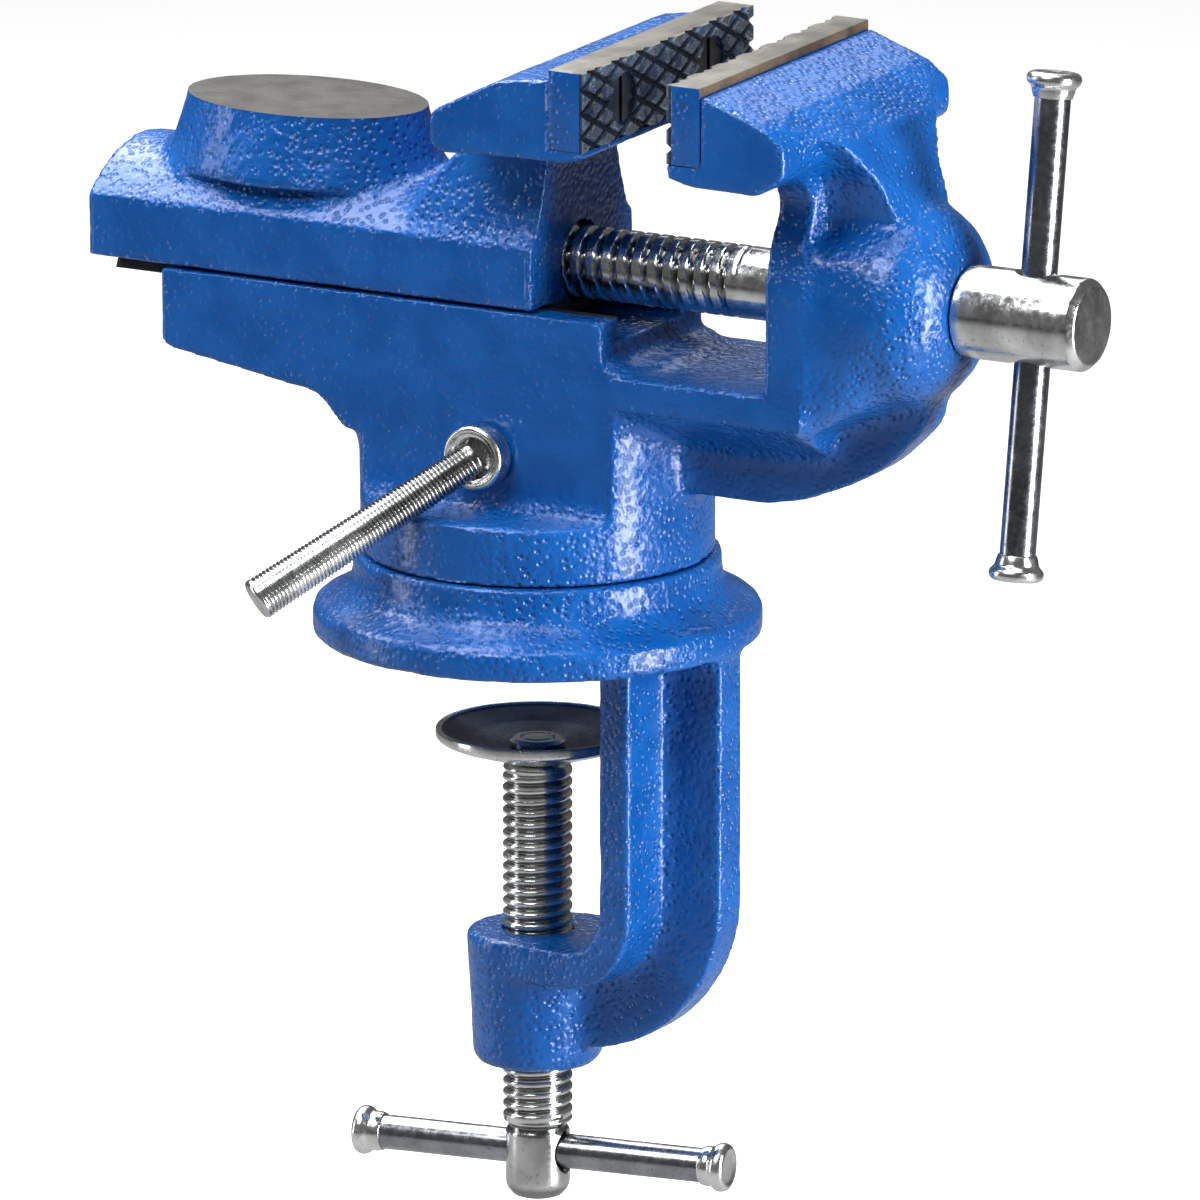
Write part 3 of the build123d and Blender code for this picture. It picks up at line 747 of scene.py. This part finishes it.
handles = {
    "main": {"centre": (96.2, 0, 65.8), "rest": -1.3, "span": 82.2, "radius": 3.1,
             "capRadius": 4.75, "capLength": 4.5},
    "clamp": {"centre": (0, 0, -92.0), "rest": 1.05, "span": 63.9, "radius": 3.0,
              "capRadius": 4.3, "capLength": 5.0},
}


def handleSet(key, body, barNode, capNodes, direction):
    sizes = handles[key]
    centre = (Vector(sizes["centre"]) + direction * sizes["rest"]) * mm
    half, length, radius = sizes["span"] / 2, sizes["capLength"], sizes["radius"]
    barPiece(key + "Bar", barNode, body, centre, direction, radius, half + length / 2 - 1.2)
    for node, side, letter in zip(capNodes, (1, -1), "AB"):
        capPiece(key + "Cap" + letter, node, body, centre, direction * side, half - length / 2, length,
                 sizes["capRadius"], radius)


handleSet("main", "main_handle", "main_handle_bar", ("main_handle_upper_cap", "main_handle_lower_cap"),
          barTilt())
handleSet("clamp", "clamp_handle", "clamp_handle_bar", ("clamp_handle_right_cap", "clamp_handle_left_cap"),
          clampBarLine())


def padPiece():
    profile = [(-20.6, 3.09), (-22.8, 3.09), (-22.8, 6.2), (-22.4, 7.4), (-19.8, 15.4), (-19.1, 17.0),
               (-18.6, 17.5), (-17.4, 17.5), (-17.1, 17.3), (-17.1, 16.8), (-17.6, 16.2), (-19.2, 11.6),
               (-20.1, 8.0), (-20.6, 4.8), (-20.6, 3.09)]
    ring = rounded([(h * mm, r * mm) for h, r in profile], 0.3 * mm)
    mesh = turnedMesh("clampPad", ring, Matrix.Identity(4), 96)
    work = bmesh.new()
    work.from_mesh(mesh)
    poles = [v for v in work.verts if math.hypot(v.co.x, v.co.y) < 1e-6]
    bmesh.ops.delete(work, geom=poles, context="VERTS")
    bmesh.ops.remove_doubles(work, verts=work.verts, dist=1e-6)
    bmesh.ops.recalc_face_normals(work, faces=work.faces)
    for face in work.faces:
        middle = face.calc_center_median()
        inside = face.normal.z > 0.3 and math.hypot(middle.x, middle.y) < 16.5 * mm
        face.material_index = 1 if inside else 0
    work.to_mesh(mesh)
    work.free()
    piece = newObject("clampPad", mesh)
    finishes = [metals["brightZinc"], metals["dishSteel"]]
    return finishPiece(piece, "pad", ["clamp_pad"], finishes, 40)


padPiece()


lock = {"height": 35.0, "face": -23.3, "tilt": 50.0, "clock": 219.7, "length": 45.2, "root": 3.0, "tip": 3.7,
        "pitch": 0.72, "depth": 0.26}


def leverLine():
    tilt, clock = math.radians(lock["tilt"]), math.radians(lock["clock"])
    return Vector((math.cos(clock) * math.sin(tilt), -math.cos(tilt), math.sin(clock) * math.sin(tilt)))


def lockPieces():
    face = -lock["face"]
    profile = [(14.45, 0.001), (14.45, 3.6), (14.9, 4.0), (19.1, 4.0), (19.1, 5.3), (19.4, 5.6),
               (face - 0.5, 5.6), (face, 5.2), (face, 4.75), (face - 0.35, 4.2), (face - 0.45, 3.7),
               (face - 0.9, 3.2), (face - 1.15, 2.4), (face - 1.2, 0.001)]
    stations = rounded([(h * mm, r * mm) for h, r in profile], 0.25 * mm)
    head = turnedPiece("lockHead", stations, (0, 0, lock["height"] * mm), (0, -1, 0), 64)
    finishPiece(head, "swivel_lock", ["lock_screw"], [metals["brightZinc"]], 40)
    root = Vector((0, lock["face"] + 1.6, lock["height"])) * mm
    length, tip = lock["length"], lock["tip"]
    profile = [(0, 0.001), (0, lock["root"]), (length - 0.5, tip), (length, tip - 0.45), (length, 0.001)]
    profile = [(h * mm, r * mm) for h, r in profile]
    first, last = 1.0 * mm, (length - 0.8) * mm
    stations = threadedStations(profile, first, last, lock["pitch"] * mm, 8)
    thread = (lock["pitch"] * mm, lock["depth"] * mm, first, last, sharpThread)
    lever = turnedPiece("lockLever", stations, root, leverLine(), 48, thread)
    markGrooves(lever, root, leverLine(), 3.3 * mm, lock["depth"] * mm)
    return finishPiece(lever, "swivel_lock", ["lock_lever"], [metals["zincThread"]], 40)


lockPieces()
print("pad and lock ready")


jawPlates = {
    "fixed": {"node": "fixed_jaw_plate", "screws": "fixed_jaw_screws", "body": "swivel_body", "front": -1},
    "moving": {"node": "moving_jaw_plate", "screws": "moving_jaw_screws", "body": "sliding_jaw", "front": 1},
    "pitch": 4.05, "depth": 0.8, "valley": 0.16, "land": 0.62, "rows": 25, "stretch": (1.5, 0.72),
    "toothSink": 0.1, "darkBrownBandFoot": 104.7, "screwOffset": 15.5, "screwHeight": 99.2, "headRadius": 4.6,
    "shankRadius": 2.4, "sink": 0.9,
}


def geometryTree(name, inputs):
    tree = bpy.data.node_groups.new(name, "GeometryNodeTree")
    for label, (kind, value) in inputs.items():
        socket = tree.interface.new_socket(label, in_out="INPUT", socket_type=kind)
        if value is not None:
            socket.default_value = value
    tree.interface.new_socket("Geometry", in_out="OUTPUT", socket_type="NodeSocketGeometry")
    return tree, tree.nodes.new("NodeGroupInput"), tree.nodes.new("NodeGroupOutput")


def runTree(name, tree, values):
    # a modifier on a bare point, its inputs set by identifier, then made a plain mesh
    holder = newObject(name, meshFrom(name, [(0, 0, 0)], []))
    grown = holder.modifiers.new(name, "NODES")
    grown.node_group = tree
    for item in tree.interface.items_tree:
        if item.in_out == "INPUT" and item.name in values:
            grown[item.identifier] = values[item.name]
    return flattened(holder)


def toothTree():
    number = "NodeSocketFloat"
    tree, given, out = geometryTree("jawTeeth", {
        "Pitch": (number, 0.004), "Foot": (number, 0.0027), "Land": (number, 0.0019),
        "Height": (number, 0.0008), "Half Width": (number, 0.03), "Low": (number, 0.0925),
        "High": (number, 0.1063), "Plane": (number, 0.025), "Facing": (number, 1.0),
        "Stretch Y": (number, 1.5), "Stretch Z": (number, 0.72), "Count": ("NodeSocketInt", 25),
        "Finish": ("NodeSocketMaterial", None)})
    value = given.outputs

    def moved(geometry, **change):
        sockets = {"Geometry": geometry} | {label.title(): amount for label, amount in change.items()}
        return put(tree, "GeometryNodeTransform", sockets).outputs[0]

    factors = {0: 1.0, 1: value["Stretch Y"], 2: value["Stretch Z"]}
    stretch = put(tree, "ShaderNodeCombineXYZ", factors).outputs[0]
    span = math2(tree, "MULTIPLY", value["Pitch"], math2(tree, "SUBTRACT", value["Count"], 1.0))
    grid = put(tree, "GeometryNodeMeshGrid", {"Size X": span, "Size Y": span, "Vertices X": value["Count"],
                                              "Vertices Y": value["Count"]})
    middle = math2(tree, "MULTIPLY", math2(tree, "ADD", value["Low"], value["High"]), 0.5)
    upright = moved(grid.outputs["Mesh"], rotation=(0, 0, math.pi / 4))
    stand = moved(upright, rotation=(math.pi / 2, 0, math.pi / 2))
    place = put(tree, "ShaderNodeCombineXYZ", {0: value["Plane"], 2: middle}).outputs[0]
    placed = moved(stand, translation=place, scale=stretch)
    where = put(tree, "ShaderNodeSeparateXYZ", {0: put(tree, "GeometryNodeInputPosition").outputs[0]})
    side = math2(tree, "ABSOLUTE", where.outputs[1])
    reach = math2(tree, "ADD", value["Half Width"], value["Foot"])
    rise = math2(tree, "ABSOLUTE", math2(tree, "SUBTRACT", where.outputs[2], middle))
    halfHigh = math2(tree, "ADD", math2(tree, "SUBTRACT", value["High"], middle), value["Foot"])
    wide = put(tree, "FunctionNodeCompare", {0: side, 1: reach}, operation="GREATER_THAN").outputs[0]
    tall = put(tree, "FunctionNodeCompare", {0: rise, 1: halfHigh}, operation="GREATER_THAN").outputs[0]
    outside = put(tree, "FunctionNodeBooleanMath", {0: wide, 1: tall}, operation="OR").outputs[0]
    kept = put(tree, "GeometryNodeDeleteGeometry", {"Geometry": placed, "Selection": outside})
    cone = put(tree, "GeometryNodeMeshCone", {"Vertices": 4, "Radius Bottom": value["Foot"],
                                              "Radius Top": value["Land"], "Depth": value["Height"]})
    quarter = math2(tree, "MULTIPLY", value["Facing"], math.pi / 2)
    aim = put(tree, "ShaderNodeCombineXYZ", {1: quarter}).outputs[0]
    tooth = moved(moved(cone.outputs["Mesh"], rotation=aim), scale=stretch)
    teeth = put(tree, "GeometryNodeInstanceOnPoints", {"Points": kept.outputs[0], "Instance": tooth})
    real = put(tree, "GeometryNodeRealizeInstances", {"Geometry": teeth.outputs[0]})
    sockets = {"Geometry": real.outputs[0], "Material": value["Finish"]}
    finished = put(tree, "GeometryNodeSetMaterial", sockets)
    tree.links.new(finished.outputs[0], out.inputs["Geometry"])
    return tree


def boxPiece(name, low, high):
    corners = [(x, y, z) for x in (low[0], high[0]) for y in (low[1], high[1]) for z in (low[2], high[2])]
    faces = [(0, 1, 3, 2), (4, 6, 7, 5), (0, 4, 5, 1), (2, 3, 7, 6), (0, 2, 6, 4), (1, 5, 7, 3)]
    return newObject(name, meshFrom(name, corners, faces))


def screwCutters(front, facing):
    tools = []
    for side in (-1, 1):
        origin = (front, side * jawPlates["screwOffset"] * mm, jawPlates["screwHeight"] * mm)
        head, shank, sink = jawPlates["headRadius"], jawPlates["shankRadius"], jawPlates["sink"]
        stations = [(-1.0, head), (sink, head), (sink + head - shank, shank), (12.0, shank)]
        stations = [(h * mm, (r + 0.02) * mm) for h, r in stations]
        tools.append(turnedPiece("screwTool", stations, origin, (-facing, 0, 0), 48))
    return tools


def toothTraits(piece, plane, facing):
    # red grows towards the tips of the teeth, green towards the floor of the grooves
    co = points(piece.data)
    rise = (co[:, 0] - plane) * facing / (jawPlates["depth"] * mm)
    tip = smoothStep(rise, 0.3, 0.95)
    groove = (1 - smoothStep(rise, 0.0, 0.35)) * (rise > -0.2)
    traits = np.stack([tip, groove, np.full(len(co), 0.5), np.ones(len(co))], -1)
    layer = piece.data.color_attributes.new("skin", "FLOAT_COLOR", "POINT")
    layer.data.foreach_set("color", traits.ravel().astype(np.float32))


def jawPlateBlock(key, low, high, plane, facing):
    near, far = (low.x, plane) if facing > 0 else (plane, high.x)
    block = boxPiece(key + "JawPlate", (near, low.y, low.z), (far, high.y, high.z))
    soft = block.modifiers.new("soft", "BEVEL")
    soft.width, soft.segments = 0.22 * mm, 2
    return flattened(block)


def jawTeethRows(key, tree, low, high, plane, facing):
    depth, sink = jawPlates["depth"] * mm, jawPlates["toothSink"] * mm
    half = (jawPlates["pitch"] - jawPlates["valley"]) / math.sqrt(2) * mm
    teeth = runTree(key + "JawTeeth", tree, {
        "Pitch": jawPlates["pitch"] * mm, "Foot": half, "Land": half * jawPlates["land"],
        "Height": depth + sink, "Half Width": high.y, "Low": low.z, "High": high.z,
        "Plane": plane - facing * sink, "Facing": facing, "Stretch Y": jawPlates["stretch"][0],
        "Stretch Z": jawPlates["stretch"][1], "Count": jawPlates["rows"], "Finish": paint})
    margin = 0.05 * mm
    trim = boxPiece("trim", (low.x - mm, low.y + margin, low.z + margin),
                    (high.x + mm, high.y - margin, high.z - margin))
    return cut(teeth, [trim], "INTERSECT")


def joined(first, *others):
    work = bmesh.new()
    work.from_mesh(first.data)
    for other in others:
        work.from_mesh(other.data)
        bpy.data.objects.remove(other)
    work.to_mesh(first.data)
    work.free()
    return first


def toothedPlate(key, tree):
    plate = jawPlates[key]
    low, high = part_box(plate["node"])
    facing = plate["front"]
    front = high.x if facing > 0 else low.x
    plane = front - facing * jawPlates["depth"] * mm
    block = cut(jawPlateBlock(key, low, high, plane, facing), screwCutters(front, facing))
    teeth = cut(jawTeethRows(key, tree, low, high, plane, facing), screwCutters(front, facing))
    teeth.data.materials.clear()
    piece = joined(block, teeth)
    work = bmesh.new()
    work.from_mesh(piece.data)
    foot = jawPlates["darkBrownBandFoot"] * mm
    everything = work.verts[:] + work.edges[:] + work.faces[:]
    bmesh.ops.bisect_plane(work, geom=everything, plane_co=(0, 0, foot), plane_no=(0, 0, 1))
    for face in work.faces:
        middle = face.calc_center_median()
        onTop = face.normal.z > 0.9 and middle.z > high.z - 0.3 * mm
        face.material_index = 1 if onTop else 0
        if not onTop and (middle.x - plane) * facing > -0.1 * mm:
            face.material_index = 2
        # faces on the plate's back above the band's foot height are coloured dark brown
        elif not onTop and face.normal.x * facing < -0.6 and middle.z > foot:
            face.material_index = 3
    work.to_mesh(piece.data)
    work.free()
    toothTraits(piece, plane, facing)
    finishes = [paint, metals["groundSteel"], toothPaint, metals["darkBrownBand"]]
    return finishPiece(piece, plate["body"], [plate["node"]], finishes, 30)


def jawScrewPiece(key):
    plate = jawPlates[key]
    low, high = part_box(plate["screws"])
    facing = plate["front"]
    front = high.x if facing > 0 else low.x
    length = high.x - low.x
    made = []
    for side in (-1, 1):
        head, shank = jawPlates["headRadius"] * mm, jawPlates["shankRadius"] * mm
        origin = (front, side * jawPlates["screwOffset"] * mm, jawPlates["screwHeight"] * mm)
        profile = [(0, 0.001 * mm), (0, head - 0.15 * mm), (0.2 * mm, head), (head - shank, shank),
                   (length, shank), (length, 0.001 * mm)]
        stations = rounded(profile, 0.15 * mm)
        screw = turnedPiece(key + "JawScrew", stations, origin, (-facing, 0, 0), 40)
        slotLow = (front - 1.1 * mm, origin[1] - 0.55 * mm, origin[2] - 6 * mm)
        slotHigh = (front + 1.1 * mm, origin[1] + 0.55 * mm, origin[2] + 6 * mm)
        made.append(cut(screw, [boxPiece("slotTool", slotLow, slotHigh)]))
    work = bmesh.new()
    for screw in made:
        work.from_mesh(screw.data)
    work.to_mesh(made[0].data)
    work.free()
    bpy.data.objects.remove(made[1])
    return finishPiece(made[0], plate["body"], [plate["screws"]], [metals["oiledSteel"]], 30)


teethTree = toothTree()
for jaw in ("fixed", "moving"):
    toothedPlate(jaw, teethTree)
    jawScrewPiece(jaw)
print("jaw plates cut")


packedFinish = {"lead_nut": "oiledSteel", "thrust_washer": "brightZinc", "retaining_collar": "oiledSteel",
                "collar_pin": "oiledSteel", "swivel_spigot": "oiledSteel", "lock_plug": "turnedBrass",
                "pad_retainer": "brightZinc"}
for node, finish in packedFinish.items():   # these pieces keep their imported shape
    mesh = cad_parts[node].data
    mesh.materials.clear()
    mesh.materials.append(metals[finish])


studio = {"azimuth": 28.9, "elevation": 14.2, "target": (12.2, 0, 6.6), "lens": 800.0, "sensor": 36.0,
          "scale": 4.88, "floorDrop": 150.0, "floorSize": 14.0, "floorShown": 0.95, "floorBounce": 0.26,
          "worldShown": 0.95, "worldLight": 0.14, "clip": (0.01, 50.0)}
softboxes = {
    "leftTopBox": {"azimuth": -108, "elevation": 60, "distance": 1.0, "size": (1.0, 0.8), "power": 21.0},
    "leftStrip": {"azimuth": -62, "elevation": 0, "distance": 1.0, "size": (0.2, 0.9), "power": 3.0},
    "keyBox": {"azimuth": -8, "elevation": 50, "distance": 1.3, "size": (0.6, 0.5), "power": 13.0},
    "topBox": {"azimuth": 60, "elevation": 78, "distance": 1.0, "size": (0.5, 0.3), "power": 2.6},
    "rightBox": {"azimuth": 88, "elevation": 2, "distance": 0.55, "size": (0.16, 0.50), "power": 6.2},
    "backBox": {"azimuth": 214, "elevation": 38, "distance": 1.3, "size": (1.0, 0.5), "power": 3.0},
}


def outward(azimuth, elevation):
    turn, rise = math.radians(azimuth), math.radians(elevation)
    return Vector((math.sin(turn) * math.cos(rise), -math.cos(turn) * math.cos(rise), math.sin(rise)))


def studioFloor():
    half = studio["floorSize"] / 2
    level = cadBounds[0].z - studio["floorDrop"] * mm
    corners = [(x * half, y * half, level) for x, y in ((-1, -1), (1, -1), (1, 1), (-1, 1))]
    mesh = meshFrom("floor", corners, [(0, 1, 2, 3)])
    floor = newObject("floor", mesh)
    material, tree, shader = emptyMaterial("paleFloor")
    # the floor looks white and bounces little
    seen = tree.nodes.new("ShaderNodeLightPath").outputs["Is Camera Ray"]
    tone = ramp(tree, objectNoise(tree, 3.0), 0.3, 0.7, 0.96, 1.0)
    bounce, shown = [(v, v, v, 1) for v in (studio["floorBounce"], studio["floorShown"])]
    colour = mixColour(tree, math2(tree, "MULTIPLY", seen, tone), bounce, shown)
    tree.links.new(colour, shader.inputs["Base Color"])
    glow = mixColour(tree, seen, (0, 0, 0, 1), (0.5, 0.5, 0.5, 1))
    tree.links.new(glow, shader.inputs["Emission Color"])
    shader.inputs["Roughness"].default_value = 0.9
    shader.inputs["Emission Strength"].default_value = 1.0
    mesh.materials.append(material)


def softbox(name, box):
    data = bpy.data.lights.new(name, "AREA")
    data.shape, data.energy = "RECTANGLE", box["power"]
    data.size, data.size_y = box["size"]
    lamp = bpy.data.objects.new(name, data)
    bpy.context.scene.collection.objects.link(lamp)
    away = outward(box["azimuth"], box["elevation"])
    lamp.location = Vector(studio["target"]) * mm + away * box["distance"]
    lamp.rotation_euler = away.to_track_quat("Z", "Y").to_euler()


def studioWorld():
    world = bpy.data.worlds.new("studio")
    bpy.context.scene.world = world
    world.use_nodes = True
    tree = world.node_tree
    seen = tree.nodes.new("ShaderNodeLightPath").outputs["Is Camera Ray"]
    sockets = {0: seen, 3: studio["worldLight"], 4: studio["worldShown"]}
    glow = put(tree, "ShaderNodeMapRange", sockets).outputs[0]
    tree.nodes["Background"].inputs[0].default_value = (1, 1, 1, 1)
    tree.links.new(glow, tree.nodes["Background"].inputs[1])


def studioCamera():
    # scale is how many thousandths of the frame's side one millimetre of the vise takes
    away = outward(studio["azimuth"], studio["elevation"])
    data = bpy.data.cameras.new("camera")
    data.lens, data.sensor_width = studio["lens"], studio["sensor"]
    data.clip_start, data.clip_end = studio["clip"]
    camera = bpy.data.objects.new("camera", data)
    bpy.context.scene.collection.objects.link(camera)
    distance = studio["lens"] / studio["sensor"] / studio["scale"]
    camera.location = Vector(studio["target"]) * mm + away * distance
    camera.rotation_euler = away.to_track_quat("Z", "Y").to_euler()
    bpy.context.scene.camera = camera


studioFloor()
studioWorld()
for name, box in softboxes.items():
    softbox(name, box)
studioCamera()
bpy.context.scene.view_settings.view_transform = "Standard"
print("studio ready")
